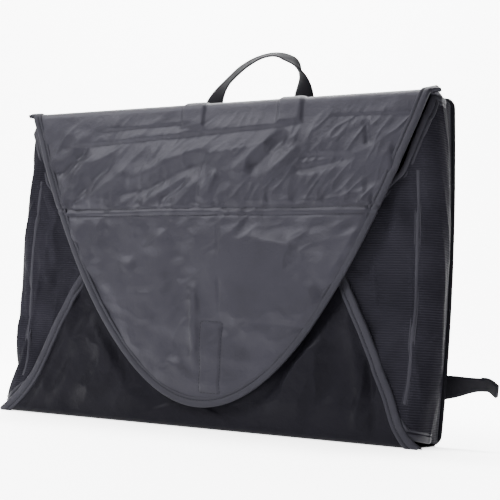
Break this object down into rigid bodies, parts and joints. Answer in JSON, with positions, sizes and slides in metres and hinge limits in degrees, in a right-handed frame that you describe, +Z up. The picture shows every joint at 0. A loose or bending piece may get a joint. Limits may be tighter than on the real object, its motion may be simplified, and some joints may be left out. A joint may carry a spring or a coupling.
{
  "type": "garment bag",
  "caption": "Travel garment folder with a crossing envelope front, ribbed mesh wings and sides, a webbing carry handle and rear attachment straps.",
  "frame": {"origin": "underside of the bottom gusset, midway along the bag and midway between its front and back rims", "axes": "+X to the bag's right seen from the front, +Y to its back, +Z up; the bag stands on its bottom gusset"},
  "size_m": [0.5496, 0.0763, 0.3776],
  "materials": {
    "nylon": "charcoal coated nylon with a soft sheen",
    "dark_nylon": "near-black coated nylon with a soft sheen",
    "mesh": "black ribbed mesh",
    "lining": "matt nylon lining",
    "board": "flexible plastic sheet",
    "binding_tape": "folded grosgrain tape, double stitched",
    "webbing": "black woven webbing",
    "hook_tape": "hook side of a touch fastener",
    "loop_tape": "loop side of a touch fastener"
  },
  "bodies": {
    "shell": {"back_panel": "nylon", "stiffener_board": "board", "back_lining": "lining", "back_binding": "binding_tape", "top_gusset": "nylon", "bottom_gusset": "dark_nylon", "left_gusset": "mesh", "left_gusset_binding": "binding_tape", "left_gusset_seam": "binding_tape", "right_gusset": "mesh", "right_gusset_binding": "binding_tape", "right_gusset_seam": "binding_tape", "left_handle_anchor": "webbing", "right_handle_anchor": "webbing", "left_strap_anchor": "webbing", "right_strap_anchor": "webbing"},
    "top_flap": {"top_flap_upper": "nylon", "top_flap_lower": "nylon", "top_flap_seam": "nylon", "top_flap_binding": "binding_tape", "hook_patch": "hook_tape"},
    "bottom_flap": {"bottom_flap_panel": "dark_nylon", "bottom_flap_binding": "binding_tape", "loop_patch": "loop_tape"},
    "left_wing": {"left_wing_mesh": "mesh", "left_wing_binding": "binding_tape"},
    "right_wing": {"right_wing_mesh": "mesh", "right_wing_binding": "binding_tape"},
    "handle": {"handle_webbing": "webbing"},
    "left_tether": {"left_strap": "webbing", "left_strap_tip": "webbing"},
    "right_tether": {"right_strap": "webbing", "right_strap_tip": "webbing"}
  },
  "joints": [
    {"name": "top_flap_fold", "type": "hinge", "parent": "shell", "child": "top_flap", "pos_m": [0, -0.032, 0.31], "axis": [-1, 0, 0], "range_deg": [0, 180]},
    {"name": "bottom_flap_fold", "type": "hinge", "parent": "shell", "child": "bottom_flap", "pos_m": [0, -0.03, 0.001], "axis": [1, 0, 0], "range_deg": [0, 79.2]},
    {"name": "right_wing_fold", "type": "hinge", "parent": "shell", "child": "right_wing", "pos_m": [0.212, -0.0265, 0.13], "axis": [0, 0, 1], "range_deg": [0, 81]},
    {"name": "left_wing_fold", "type": "hinge", "parent": "shell", "child": "left_wing", "pos_m": [-0.212, -0.0265, 0.13], "axis": [0, 0, -1], "range_deg": [0, 81]},
    {"name": "handle_swing", "type": "hinge", "parent": "shell", "child": "handle", "pos_m": [0.024, 0.0276, 0.312], "axis": [-1, 0, 0], "range_deg": [-40, 95]},
    {"name": "right_strap_bend", "type": "hinge", "parent": "shell", "child": "right_tether", "pos_m": [0.213, 0.03817, 0.05139], "axis": [0, 0.1274, 0.9918], "range_deg": [0, 150]},
    {"name": "left_strap_bend", "type": "hinge", "parent": "shell", "child": "left_tether", "pos_m": [-0.213, 0.03817, 0.05139], "axis": [0.6428, -0.0976, -0.7598], "range_deg": [0, 150]}
  ],
  "couplings": [
    {"joint": "bottom_flap_fold", "follows": "top_flap_fold", "ratio": 0.44},
    {"joint": "right_wing_fold", "follows": "top_flap_fold", "ratio": 0.45},
    {"joint": "left_wing_fold", "follows": "top_flap_fold", "ratio": 0.45}
  ]
}
